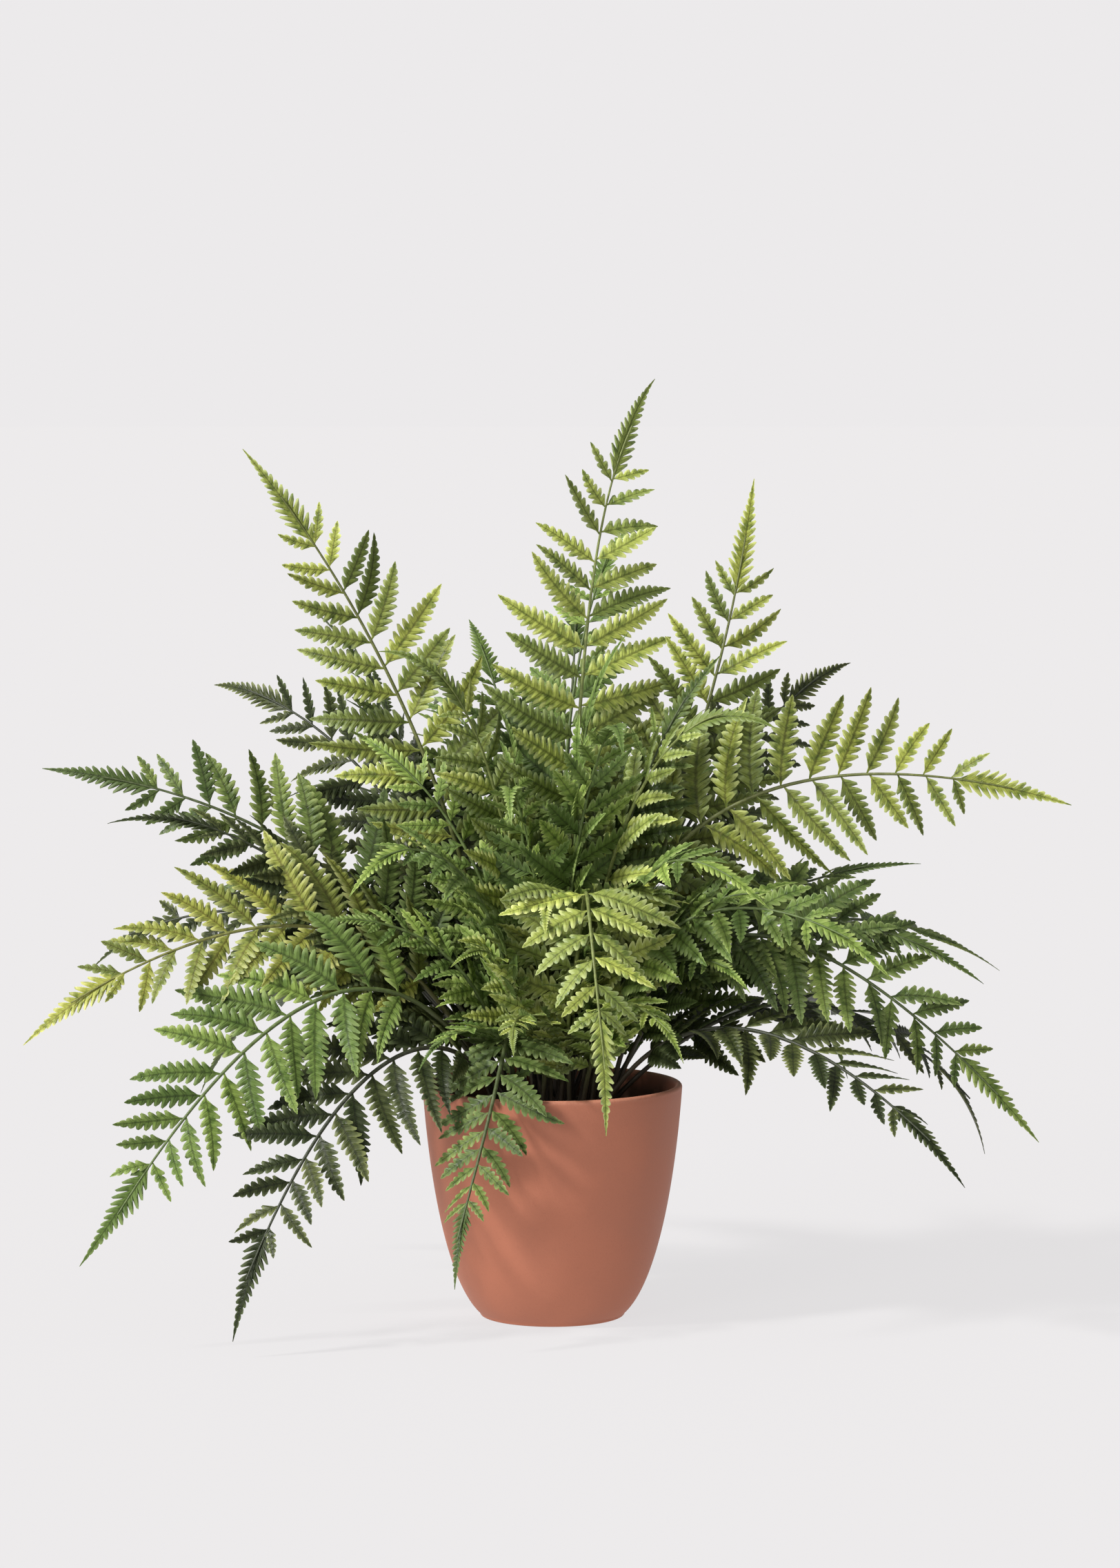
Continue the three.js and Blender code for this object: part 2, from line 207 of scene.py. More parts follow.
class FernStageSettings(bpy.types.PropertyGroup):
    """Floor and light."""
    floor: colour_property("Floor", "Colour of the floor", (0.100, 0.098, 0.099))
    glow: FloatProperty(
        name="Floor glow", description="Light that the floor gives off by itself", default=0.845)
    backdrop: colour_property("Backdrop", "Colour behind the plant", (0.839, 0.823, 0.831))
    key: FloatProperty(name="Key", description="Strength of the high key light", default=3.8)
    front: FloatProperty(name="Front", description="Strength of the low front light", default=1.2)
    fill: FloatProperty(name="Fill", description="Strength of the light from all around", default=0.46)


# Mesh helpers

def make_piece(name, points, faces, replaced, materials, attributes=None, face_materials=None):
    """Makes a piece from an (n, 3) array of points, an (m, 4) array of quads and attributes of the points."""
    mesh = bpy.data.meshes.new(name)
    mesh.vertices.add(len(points))
    mesh.vertices.foreach_set("co", np.asarray(points, np.float32).ravel())
    mesh.loops.add(faces.size)
    mesh.loops.foreach_set("vertex_index", faces.astype(np.int32).ravel())
    mesh.polygons.add(len(faces))
    mesh.polygons.foreach_set("loop_start", np.arange(0, faces.size, 4, dtype=np.int32))
    for material in materials:
        mesh.materials.append(material)
    if face_materials is not None:
        mesh.polygons.foreach_set("material_index", face_materials.astype(np.int32))
    for key, values in (attributes or {}).items():
        layer = mesh.attributes.new(key, "FLOAT", "POINT")
        layer.data.foreach_set("value", np.asarray(values, np.float32).ravel())
    mesh.update(calc_edges=True)
    mesh.validate()
    mesh.set_sharp_from_angle(angle=math.radians(70))
    piece = bpy.data.objects.new(name, mesh)
    bpy.context.scene.collection.objects.link(piece)
    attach(piece, "root")
    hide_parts(replaced)


def tube_faces(columns, around):
    """Quads of a closed tube of rings laid one after another, with both ends capped by quads."""
    ring = np.arange(around)
    step = (ring + 1) % around
    base = around * np.arange(columns - 1)[:, None]
    sides = np.stack([base + ring, base + step, base + around + step, base + around + ring], axis=-1)
    sides = sides.reshape(-1, 4)
    inner = np.arange(1, around - 2, 2)
    near = np.stack([0 * inner, inner + 2, inner + 1, inner], axis=-1)
    far = np.stack([0 * inner, inner, inner + 1, inner + 2], axis=-1) + around * (columns - 1)
    return np.concatenate([sides, near, far])


def outward(points, faces):
    """Turns the faces round where the shell's signed volume is negative."""
    corners = points[faces]
    volume = np.einsum("ij,ij->i", corners[:, 0], np.cross(corners[:, 1], corners[:, 2])).sum()
    volume += np.einsum("ij,ij->i", corners[:, 0], np.cross(corners[:, 2], corners[:, 3])).sum()
    return faces if volume > 0 else faces[:, ::-1]


def turned(profile, around):
    """Turns an (n, 2) profile of radius and height about +Z, as n rings of points."""
    angle = np.linspace(0, 2 * np.pi, around, endpoint=False)
    radius, height = profile[:, :1], profile[:, 1:]
    return np.stack([radius * np.cos(angle), radius * np.sin(angle), height + 0 * angle], axis=-1)


def bezier(points, t):
    """A cubic Bezier curve through an array of shares t."""
    a, b, c, d = (np.array(point, float) for point in points)
    t = np.asarray(t, float)[:, None]
    return (1 - t) ** 3 * a + 3 * t * (1 - t) ** 2 * b + 3 * t ** 2 * (1 - t) * c + t ** 3 * d


def smooth_steps(low, high, value):
    """Rises smoothly from 0 at low to 1 at high."""
    share = np.clip((value - low) / (high - low), 0, 1)
    return share * share * (3 - 2 * share)


# Shader helpers

def link(tree, source, target):
    tree.links.new(source, target)


def add_node(tree, kind, **values):
    node = tree.nodes.new(kind)
    for key, value in values.items():
        setattr(node, key, value)
    return node


def attribute_value(tree, name):
    """The mesh attribute of that name."""
    return add_node(tree, "ShaderNodeAttribute", attribute_name=name).outputs["Fac"]


def map_range(tree, value, low, high, to_low=0.0, to_high=1.0, smooth=True):
    """Carries a value from low..high to to_low..to_high, and keeps it between them."""
    node = add_node(tree, "ShaderNodeMapRange", interpolation_type="SMOOTHSTEP" if smooth else "LINEAR")
    link(tree, value, node.inputs["Value"])
    for socket, number in zip(("From Min", "From Max", "To Min", "To Max"), (low, high, to_low, to_high)):
        node.inputs[socket].default_value = number
    return node.outputs["Result"]


def math_node(tree, operation, a, b=None, c=None):
    """A Math node whose inputs are numbers or outputs of other nodes."""
    node = add_node(tree, "ShaderNodeMath", operation=operation)
    for socket, value in zip(node.inputs, (a, b, c)):
        if value is None:
            continue
        if isinstance(value, (int, float)):
            socket.default_value = value
        else:
            link(tree, value, socket)
    return node.outputs["Value"]


def mix_colour(tree, share, a, b, blend="MIX"):
    """Colour a where the share is 0 and colour b, or a blended with it, where the share is 1."""
    node = add_node(tree, "ShaderNodeMix", data_type="RGBA", blend_type=blend)
    for socket, value in ((node.inputs[0], share), (node.inputs[6], a), (node.inputs[7], b)):
        if isinstance(value, (int, float)):
            socket.default_value = value
        elif isinstance(value, tuple):
            socket.default_value = (*value, 1.0)
        else:
            link(tree, value, socket)
    return node.outputs[2]


def noise(tree, scale, detail=3.0, roughness=0.55):
    """Noise on object coordinates, so that it stays on the piece."""
    place = add_node(tree, "ShaderNodeTexCoord").outputs["Object"]
    node = add_node(tree, "ShaderNodeTexNoise")
    link(tree, place, node.inputs["Vector"])
    node.inputs["Scale"].default_value = scale
    node.inputs["Detail"].default_value = detail
    node.inputs["Roughness"].default_value = roughness
    return node.outputs["Fac"]


def new_group(name, inputs, outputs):
    """A shader group: inputs are (name, socket type, default) and outputs are (name, socket type)."""
    tree = bpy.data.node_groups.new(name, "ShaderNodeTree")
    for label, kind, default in inputs:
        socket = tree.interface.new_socket(label, in_out="INPUT", socket_type=kind)
        socket.default_value = default
    for label, kind in outputs:
        tree.interface.new_socket(label, in_out="OUTPUT", socket_type=kind)
    return tree, add_node(tree, "NodeGroupInput"), add_node(tree, "NodeGroupOutput")


def leaf_group():
    """Leaf colour, roughness and height from the attributes across, lobe and tint.

    The midrib is dark, its own olive with painted shade for the crease between the raised halves, and
    each lobe's edge is pale; a side vein runs down the middle of each lobe, noise mottles the whole, and a
    leaflet's tint makes all of it lighter or darker.
    """
    if "Fern Leaf" in bpy.data.node_groups:
        return bpy.data.node_groups["Fern Leaf"]
    tree, given, made = new_group(
        "Fern Leaf",
        [("Body", "NodeSocketColor", (0.1, 0.2, 0.05, 1)), ("Edge", "NodeSocketColor", (0.2, 0.3, 0.08, 1)),
         ("Midrib", "NodeSocketColor", (0.05, 0.08, 0.03, 1)), ("Wear", "NodeSocketFloat", 0.3)],
        [("Colour", "NodeSocketColor"), ("Roughness", "NodeSocketFloat"), ("Height", "NodeSocketFloat")],
    )
    across = attribute_value(tree, "across")
    lobe = attribute_value(tree, "lobe")
    tint = attribute_value(tree, "tint")
    mottle = noise(tree, scale=180, detail=4)
    speck = noise(tree, scale=900, detail=2)
    edge = map_range(tree, math_node(tree, "MULTIPLY_ADD", mottle, 0.35, across), 0.62, 1.15)
    colour = mix_colour(tree, edge, given.outputs["Body"], given.outputs["Edge"])
    vein_place = math_node(tree, "ABSOLUTE", math_node(tree, "SUBTRACT", math_node(tree, "FRACT", lobe), 0.5))
    vein = map_range(tree, vein_place, 0.0, 0.11, 1.0, 0.0)
    vein = math_node(tree, "MULTIPLY", vein, map_range(tree, across, 0.95, 0.15))
    colour = mix_colour(tree, math_node(tree, "MULTIPLY", vein, 0.45), colour, given.outputs["Midrib"])
    # Painted shade: the strip along the midrib goes three quarters of the way to the dark midrib colour, for
    # the crease there.
    midrib = map_range(tree, across, 0.03, 0.20, 1.0, 0.0)
    colour = mix_colour(tree, math_node(tree, "MULTIPLY", midrib, 0.75), colour, given.outputs["Midrib"])
    dark = mix_colour(tree, 1.0, colour, DARKER, "MULTIPLY")
    colour = mix_colour(tree, map_range(tree, mottle, 0.55, 0.32), colour, dark)
    light = mix_colour(tree, 1.0, colour, LIGHTER, "MULTIPLY")
    colour = mix_colour(tree, map_range(tree, tint, 0.5, 1.0, smooth=False), colour, light)
    colour = mix_colour(tree, map_range(tree, tint, 0.45, 0.0, 0.0, 0.85, smooth=False), colour, dark)
    brown = math_node(tree, "MULTIPLY", map_range(tree, speck, 0.66, 0.76), given.outputs["Wear"])
    colour = mix_colour(tree, brown, colour, SPECK_BROWN)
    link(tree, colour, made.inputs["Colour"])
    link(tree, map_range(tree, mottle, 0.3, 0.7, 0.38, 0.58), made.inputs["Roughness"])
    groove = math_node(tree, "MULTIPLY", vein, -0.6)
    height = math_node(tree, "ADD", groove, math_node(tree, "MULTIPLY", mottle, 0.5))
    link(tree, height, made.inputs["Height"])
    return tree


def new_material(name):
    material = bpy.data.materials.new(name)
    material.use_nodes = True
    tree = material.node_tree
    return material, tree, tree.nodes["Principled BSDF"]


def add_bump(tree, surface, height, strength, distance):
    bump = add_node(tree, "ShaderNodeBump")
    bump.inputs["Strength"].default_value = strength
    bump.inputs["Distance"].default_value = distance
    link(tree, height, bump.inputs["Height"])
    link(tree, bump.outputs["Normal"], surface.inputs["Normal"])


def leaf_material(tone):
    """A satin leaf of one tone."""
    body, edge, midrib = TONES[tone]
    material, tree, surface = new_material(f"Fern Leaf {tone.title()}")
    group = add_node(tree, "ShaderNodeGroup", node_tree=leaf_group())
    for label, colour in (("Body", body), ("Edge", edge), ("Midrib", midrib)):
        group.inputs[label].default_value = (*colour, 1.0)
    group.inputs["Wear"].default_value = 0.7 if tone == "golden" else 0.25
    link(tree, group.outputs["Colour"], surface.inputs["Base Color"])
    link(tree, group.outputs["Roughness"], surface.inputs["Roughness"])
    surface.inputs["Specular IOR Level"].default_value = 0.2
    add_bump(tree, surface, group.outputs["Height"], 0.5, 0.0006)
    return material


def stalk_material(tone):
    """An olive stalk, mottled, and brown at its foot."""
    body, _, midrib = TONES[tone]
    material, tree, surface = new_material(f"Fern Stalk {tone.title()}")
    mottle = noise(tree, scale=320, detail=3)
    along = attribute_value(tree, "along")
    green = tuple(0.75 * a + 0.25 * b for a, b in zip(midrib, body))
    pale = tuple(1.5 * c + 0.02 for c in green)
    colour = mix_colour(tree, map_range(tree, along, 0.0, 0.45), FOOT_BROWN, green)
    share = math_node(tree, "MULTIPLY", map_range(tree, mottle, 0.4, 0.7), map_range(tree, along, 0.1, 0.6))
    colour = mix_colour(tree, share, colour, pale)
    link(tree, colour, surface.inputs["Base Color"])
    link(tree, map_range(tree, mottle, 0.3, 0.7, 0.45, 0.65), surface.inputs["Roughness"])
    add_bump(tree, surface, mottle, 0.3, 0.0004)
    return material


def clay_material(settings):
    """Smooth fired clay: cloudy colour, fine grain, a paler lip, and painted shade in patches on the inner
    wall.
    """
    material, tree, surface = new_material("Terracotta")
    cloud = noise(tree, scale=22, detail=4)
    grain = noise(tree, scale=900, detail=3, roughness=0.7)
    place = add_node(tree, "ShaderNodeSeparateXYZ")
    link(tree, add_node(tree, "ShaderNodeTexCoord").outputs["Object"], place.inputs[0])
    lip = map_range(tree, place.outputs["Z"], POT_HEIGHT - 0.0035, POT_HEIGHT)
    clay = tuple(settings.clay)
    cloudy = tuple(0.93 * c for c in clay)
    grainy = tuple(0.75 * c for c in clay)
    colour = mix_colour(tree, map_range(tree, cloud, 0.35, 0.65), cloudy, clay)
    colour = mix_colour(tree, map_range(tree, grain, 0.5, 0.8, 0.0, 0.35), colour, grainy)
    worn = math_node(tree, "MULTIPLY", lip, map_range(tree, grain, 0.35, 0.6, 0.2, 0.8))
    colour = mix_colour(tree, worn, colour, tuple(settings.clay_worn))
    # Painted shade: below the lip the inner wall darkens in patches to a dark brown.
    inner_shade = attribute_value(tree, "inner_shade")
    patches = map_range(tree, cloud, 0.3, 0.6, 0.7, 0.95)
    colour = mix_colour(tree, math_node(tree, "MULTIPLY", inner_shade, patches), colour, INNER_SHADE_BROWN)
    link(tree, colour, surface.inputs["Base Color"])
    link(tree, map_range(tree, cloud, 0.3, 0.7, 0.55, 0.68), surface.inputs["Roughness"])
    surface.inputs["Specular IOR Level"].default_value = 0.35
    height = math_node(tree, "ADD", grain, math_node(tree, "MULTIPLY", cloud, 2.0))
    add_bump(tree, surface, height, 0.25, 0.0004)
    return material


def earth_material(name, dark, pale, scale):
    """Crumbly earth or papery scale: two browns broken up by noise."""
    material, tree, surface = new_material(name)
    lump = noise(tree, scale, detail=6, roughness=0.7)
    colour = mix_colour(tree, map_range(tree, lump, 0.4, 0.68), dark, pale)
    link(tree, colour, surface.inputs["Base Color"])
    link(tree, map_range(tree, lump, 0.3, 0.7, 0.95, 0.75), surface.inputs["Roughness"])
    add_bump(tree, surface, lump, 0.8, 0.002)
    return material


# Pot, soil and crown

def wall_curve(settings, count):
    """The pot's outer wall from foot to lip, a cubic Bezier curve in radius and height."""
    points = [
        (settings.foot_radius, FOOT_ROUNDING), (0.8 * RIM_RADIUS, 0.13 * POT_HEIGHT),
        (0.945 * RIM_RADIUS, 0.55 * POT_HEIGHT), (RIM_RADIUS, POT_HEIGHT - settings.wall / 2),
    ]
    return bezier(points, np.linspace(0, 1, count))


def pot_profile(settings):
    """Foot, outer wall, half-round lip and inner wall down to the floor, as radius and height."""
    outer = wall_curve(settings, 40)
    turn = np.linspace(0, np.pi / 2, 6)[:, None]
    foot = np.hstack([
        settings.foot_radius - FOOT_ROUNDING + FOOT_ROUNDING * np.sin(turn),
        FOOT_ROUNDING - FOOT_ROUNDING * np.cos(turn),
    ])
    half = settings.wall / 2
    turn = np.linspace(0, np.pi, 12)[1:, None]
    lip = np.hstack([RIM_RADIUS - half + half * np.cos(turn), POT_HEIGHT - half + half * np.sin(turn)])
    # The inner wall is the outer one moved in, where it is clear of the floor and of the lip.
    clear = 0.004
    inner = outer[(outer[:, 1] > settings.floor + clear) & (outer[:, 1] < POT_HEIGHT - clear)][::-1]
    inner = inner - [settings.wall, 0]
    turn = np.linspace(0, 1, 5)[1:, None]
    drop = settings.floor - inner[-1][1]
    corner_width = 0.006
    corner = inner[-1] + np.hstack([-corner_width * turn, drop * np.sin(turn * np.pi / 2)])
    pinhole = 0.0004
    return np.vstack([[pinhole, 0.0], foot, outer[1:], lip, inner, corner, [pinhole, settings.floor]])


class FERN_OT_pot(bpy.types.Operator):
    """Turn the pot from its profile in fired clay, with painted shade on the inside"""
    bl_idname = "fern.pot"
    bl_label = "Pot"

    def execute(self, context):
        settings = context.scene.fern_pot
        profile = pot_profile(settings)
        around = 128
        points = turned(profile, around).reshape(-1, 3)
        faces = outward(points, tube_faces(len(profile), around))
        height = profile[:, 1]
        # The painted shade starts just under the lip, on the inner wall alone.
        inside = np.arange(len(profile)) > np.argmax(height)
        inner_shade = np.repeat(inside * smooth_steps(0.001, 0.014, POT_HEIGHT - height), around)
        materials = [clay_material(settings)]
        make_piece("terracotta_pot", points, faces, "pot", materials, {"inner_shade": inner_shade})
        return {"FINISHED"}


def lumps(x, y, seed, waves, pitch):
    """A rough height field: the sum of sine waves of random direction and phase, the shorter the lower."""
    draws = np.random.default_rng(seed)
    height = np.zeros_like(x)
    for wave in range(waves):
        turn, phase = draws.uniform(0, 2 * np.pi, 2)
        length = pitch * draws.uniform(0.25, 1.6)
        place = x * np.cos(turn) + y * np.sin(turn)
        height += length / pitch * np.sin(2 * np.pi * place / length + phase)
    return height / waves ** 0.5


def scattered(centres, sizes, seed, flat):
    """Rough pebbles, each of 5 rings of 8: squashed spheres with uneven radii and random turns.

    A pebble's three radii are its size times random stretches, with flat the least of the upright one.
    """
    rings, around = 5, 8
    draws = np.random.default_rng(seed)
    count = len(centres)
    polar = np.linspace(0.12, np.pi - 0.12, rings)[:, None]
    angle = np.linspace(0, 2 * np.pi, around, endpoint=False)[None, :]
    ball = np.stack([
        np.sin(polar) * np.cos(angle), np.sin(polar) * np.sin(angle), np.cos(polar) + 0 * angle,
    ], axis=-1)
    rough = draws.uniform(0.7, 1.25, (count, rings, around, 1))
    stretch = draws.uniform([0.7, 0.7, flat], [1.4, 1.0, flat * 1.6], (count, 3))[:, None, None, :]
    shape = ball * rough * stretch * np.asarray(sizes)[:, None, None, None]
    turn = draws.uniform(0, 2 * np.pi, count)[:, None, None]
    x = shape[..., 0] * np.cos(turn) - shape[..., 1] * np.sin(turn)
    y = shape[..., 0] * np.sin(turn) + shape[..., 1] * np.cos(turn)
    points = np.stack([x, y, shape[..., 2]], axis=-1) + np.asarray(centres)[:, None, None, :]
    one = outward(points[0].reshape(-1, 3) - centres[0], tube_faces(rings, around))
    faces = one[None] + rings * around * np.arange(count)[:, None, None]
    return points.reshape(-1, 3), faces.reshape(-1, 4)


def strewn(name, body, faces, bits, replaced, material):
    """Makes one piece of a body and the loose bits on it, each given as points and faces."""
    bit_points, bit_faces = bits
    points = np.vstack([body, bit_points])
    make_piece(name, points, np.vstack([faces, bit_faces + len(body)]), replaced, [material])


class FERN_OT_soil(bpy.types.Operator):
    """Fill the pot with crumbly soil"""
    bl_idname = "fern.soil"
    bl_label = "Soil"

    def execute(self, context):
        settings = context.scene.fern_pot
        # The side follows the pot's inner wall, and the top slopes down beside it.
        clearance = 0.0004
        low, high = settings.floor + 0.005, SOIL_TOP - 0.004
        side = wall_curve(settings, 40)
        side = side[(side[:, 1] > low) & (side[:, 1] < high)] - [settings.wall + clearance, 0]
        edge = side[-1, 0]
        reach = np.linspace(edge, PINHOLE, 60)
        dip = 0.0025 * smooth_steps(0.8 * edge, edge, reach)
        top = np.stack([reach, SOIL_TOP - 0.001 - dip], axis=-1)
        base = settings.floor + 0.0005
        profile = np.vstack([[PINHOLE, base], [side[0, 0] - 0.005, base], side, top[1:]])
        around = 160
        points = turned(profile, around)
        # Only the top is rough.
        rises = np.zeros(len(profile))
        rises[-len(top) + 1:] = 0.0009
        rough = lumps(points[..., 0], points[..., 1], seed=3, waves=60, pitch=0.012)
        points[..., 2] += rough * rises[:, None]
        body = points.reshape(-1, 3)
        faces = outward(body, tube_faces(len(profile), around))
        draws = np.random.default_rng(11)
        radius = edge * np.sqrt(draws.uniform(0.0, 0.93, settings.crumbs))
        angle = draws.uniform(0, 2 * np.pi, settings.crumbs)
        sizes = draws.uniform(0.0008, 0.0026, settings.crumbs)
        height = np.full(settings.crumbs, SOIL_TOP - 0.0012)
        centres = np.stack([radius * np.cos(angle), radius * np.sin(angle), height], axis=-1)
        crumbs = scattered(centres, sizes, seed=12, flat=0.7)
        material = earth_material("Potting Soil", *SOIL_BROWNS, scale=420)
        strewn("soil_surface", body, faces, crumbs, "potting_soil", material)
        return {"FINISHED"}


class FERN_OT_crown(bpy.types.Operator):
    """Raise the scaly crown that the stalks grow from"""
    bl_idname = "fern.crown"
    bl_label = "Crown"

    def execute(self, context):
        settings = context.scene.fern_pot
        bottom = float(CROWN_LOW[2])
        rise = CROWN_TOP - bottom
        # A dome: at the share s of its radius, its height is sqrt(1 - s^3) of its rise.
        reach = np.linspace(CROWN_RADIUS, PINHOLE, 40)
        dome = bottom + rise * np.sqrt(np.clip(1 - (reach / CROWN_RADIUS) ** 3, 0, 1))
        top = np.stack([reach, dome], axis=-1)
        profile = np.vstack([[PINHOLE, bottom], [0.97 * CROWN_RADIUS, bottom], top])
        around = 120
        points = turned(profile, around)
        rough = lumps(points[..., 0], points[..., 1], seed=5, waves=50, pitch=0.014)
        weight = np.r_[0, 0, smooth_steps(bottom, bottom + rise, dome)][:, None]
        points[..., 2] += 0.0011 * rough * weight
        body = points.reshape(-1, 3)
        faces = outward(body, tube_faces(len(profile), around))
        draws = np.random.default_rng(21)
        radius = 0.95 * CROWN_RADIUS * np.sqrt(draws.uniform(0, 1, settings.scales))
        angle = draws.uniform(0, 2 * np.pi, settings.scales)
        height = bottom + rise * np.sqrt(1 - (radius / CROWN_RADIUS) ** 3)
        centres = np.stack([radius * np.cos(angle), radius * np.sin(angle), height], axis=-1)
        sizes = draws.uniform(0.0015, 0.0032, settings.scales)
        scales = scattered(centres, sizes, seed=22, flat=0.45)
        material = earth_material("Rootstock", *CROWN_BROWNS, scale=260)
        strewn("scaly_crown", body, faces, scales, "crown", material)
        return {"FINISHED"}


# Fronds

# Sizes of the arches' side waves, in metres.
HALF_WAVE = 0.007
WHOLE_WAVE = 0.004
# Columns within one lobe, from one notch to the next, and how far the margin goes out from the notch
# to the lobe's tip at each.
LOBE_PLACES = np.array([0.0, 0.16, 0.48, 0.78])
LOBE_REACHES = np.array([0.0, 0.62, 1.0, 0.80])
# The six points around a leaflet's midrib, the last one at the back: how far each is to the side and
# how far it is lifted, in half widths.
SECTION_SIDES = np.array([-1.0, -0.5, 0.0, 0.5, 1.0, 0.0])
SECTION_LIFTS = np.array([-0.06, 0.15, 0.0, 0.15, -0.06, 0.0])
TIP_NOTCH = 0.7             # width at a notch near the leaflet's tip, over the width at a lobe
SLIVER = 0.0002             # least half width and least thickness of a leaf, in metres
# Smallest and largest of each random draw.
LOBE_SIZES = (0.86, 1.08)   # a lobe's reach over the usual one
DROOPS = (0.02, 0.24)       # fall of a leaflet's tip over its length
LENGTHS = (0.84, 1.07)      # a leaflet's length over the usual one
CURLS = (-0.02, 0.12)       # sideways bend of a leaflet over its length
END_CURLS = (-0.05, 0.05)   # the same for the end leaflet
RISES = (-0.10, 0.26)       # upward tilt of all of a frond's leaflets, in radians
TILTS = (-0.22, 0.22)       # each leaflet's own tilt on top of that, in radians
LIES = (60, 74)             # angle of a frond's lowest leaflets to its stalk, in degrees
TURNS = (-10, 10)           # each leaflet's own turn on top of that, in degrees
TWISTS = (-34, 34)          # a leaflet's twist about its midrib, in degrees


class Arch:
    """The line that a stalk follows: a quadratic Bezier curve from the crown over its crest to its tip.

    Two sine waves make it wander a little sideways between its ends: half a wave and a whole one.
    """

    def __init__(self, foot_radius, row, draws):
        azimuth, sway, crest_radius, crest_height, tip_radius, tip_height, roll, self.tone = row
        start, end = math.radians(azimuth), math.radians(azimuth + sway)
        foot = np.array([foot_radius * math.cos(start), foot_radius * math.sin(start), CROWN_TOP])
        crest = np.array([crest_radius * math.cos(start), crest_radius * math.sin(start), crest_height])
        tip = np.array([tip_radius * math.cos(end), tip_radius * math.sin(end), tip_height])
        t = np.linspace(0, 1, 240)[:, None]
        self.level_right = np.array([math.sin(start), -math.cos(start), 0])
        half_wave = draws.uniform(-HALF_WAVE, HALF_WAVE) * np.sin(np.pi * t)
        whole_wave = draws.uniform(-WHOLE_WAVE, WHOLE_WAVE) * np.sin(2 * np.pi * t)
        wander = half_wave + whole_wave
        self.points = (1 - t) ** 2 * foot + 2 * t * (1 - t) * crest + t ** 2 * tip + wander * self.level_right
        along = np.gradient(self.points, axis=0)
        self.along = along / np.linalg.norm(along, axis=1, keepdims=True)
        steps = np.linalg.norm(np.diff(self.points, axis=0), axis=1)
        self.places = np.concatenate([[0], np.cumsum(steps)])
        self.length = self.places[-1]
        self.roll = math.radians(roll)

    def bend(self, flat):
        """Bends points modelled flat, with the stalk along +Y and the blade's face up, to the arch."""
        place = np.clip(flat[:, 1], 0, self.length)
        point = np.stack([np.interp(place, self.places, self.points[:, axis]) for axis in range(3)], axis=-1)
        along = np.stack([np.interp(place, self.places, self.along[:, axis]) for axis in range(3)], axis=-1)
        along /= np.linalg.norm(along, axis=1, keepdims=True)
        right = self.level_right - (along @ self.level_right)[:, None] * along
        right /= np.linalg.norm(right, axis=1, keepdims=True)
        up = np.cross(right, along)
        right = math.cos(self.roll) * right - math.sin(self.roll) * up
        up = np.cross(right, along)
        # Past its ends the arch goes on straight.
        past = flat[:, 1] - place
        return point + flat[:, :1] * right + past[:, None] * along + flat[:, 2:] * up


def leaflet(length, width, lobes, curl, draws, settings, notch=0.30, taper=(2.2, 1.0), lean=0.5):
    """A lobed leaflet along +Y, as rings of six points: margin, half, midrib, half, margin and back.

    Its width is an envelope, (1 - s^a)^b of the share s of its length, rounded off at its foot, times a
    pattern that swings from the notch to the lobe's tip. Each column leans forward from the midrib, the
    two sides are half a lobe apart, and each lobe is humped. The blade droops and curls sideways with
    the square of the distance along it.
    """
    # The last column is just short of the end, where the envelope would be 0.
    number = np.append((np.arange(lobes)[:, None] + LOBE_PLACES).ravel(), lobes - 0.01)
    share = number / lobes
    reach = np.append(np.tile(LOBE_REACHES, lobes), 0.0)
    size = np.append(np.repeat(draws.uniform(*LOBE_SIZES, lobes), len(LOBE_PLACES)), 1.0)
    depth = notch + (TIP_NOTCH - notch) * share ** 2
    envelope = (1 - np.exp(-share / 0.05 - 0.5)) * (1 - share ** taper[0]) ** taper[1]
    half = width / 2 * envelope * (depth + (size - depth) * reach) + SLIVER
    # One more column in front, as thin as a stem, is the leaflet's foot.
    foot = 0.0005
    number, share, reach = np.r_[0, number], np.r_[0, share], np.r_[0, reach]
    along = np.r_[0.0, 0.05 + 0.95 * share[1:] ** 0.93]
    half = np.r_[foot, half]
    out = np.abs(SECTION_SIDES)
    pitch = length / lobes * (share < 0.97)
    x = half[:, None] * SECTION_SIDES + (curl * length * along ** 2)[:, None]
    y = along[:, None] * length + lean * half[:, None] * out
    y = y + np.where(SECTION_SIDES < 0, 0.5, 0.0) * (pitch * (1 - share))[:, None] * out
    droop = draws.uniform(*DROOPS)
    hump = 0.16 * half * (reach - 0.5)
    z = (-droop * length * along ** 2)[:, None] + half[:, None] * SECTION_LIFTS + hump[:, None] * out
    z[:, -1] -= np.maximum(settings.thickness * (1 - 0.7 * along), SLIVER)
    flat = 0 * x
    return {
        "points": np.stack([x, y, z], axis=-1),
        "across": out + flat,
        "lobe": number[:, None] + flat,
        "along": along[:, None] + flat,
    }


def turn_flat(points, angle, twist):
    """Twists a leaflet about its midrib, its tip more than its foot, then turns it in the blade's plane."""
    x, y, z = points[..., 0], points[..., 1], points[..., 2]
    turn = np.linspace(0.6, 1.4, len(points))[:, None] * twist
    x, z = x * np.cos(turn) + z * np.sin(turn), z * np.cos(turn) - x * np.sin(turn)
    turned_x = x * math.cos(angle) + y * math.sin(angle)
    turned_y = y * math.cos(angle) - x * math.sin(angle)
    return np.stack([turned_x, turned_y, z], axis=-1)


def raised(points, angle):
    """Tilts a leaflet up about the stalk, to either side of it."""
    x, y, z = points[..., 0], points[..., 1], points[..., 2]
    return np.stack([x * math.cos(angle), y, z + np.abs(x) * math.sin(angle)], axis=-1)


def mirrored(shape, side):
    """Puts the shape's +X side on the given side, 1 or -1. outward() sets its faces right afterwards."""
    shape["points"][..., 0] *= side
    return shape


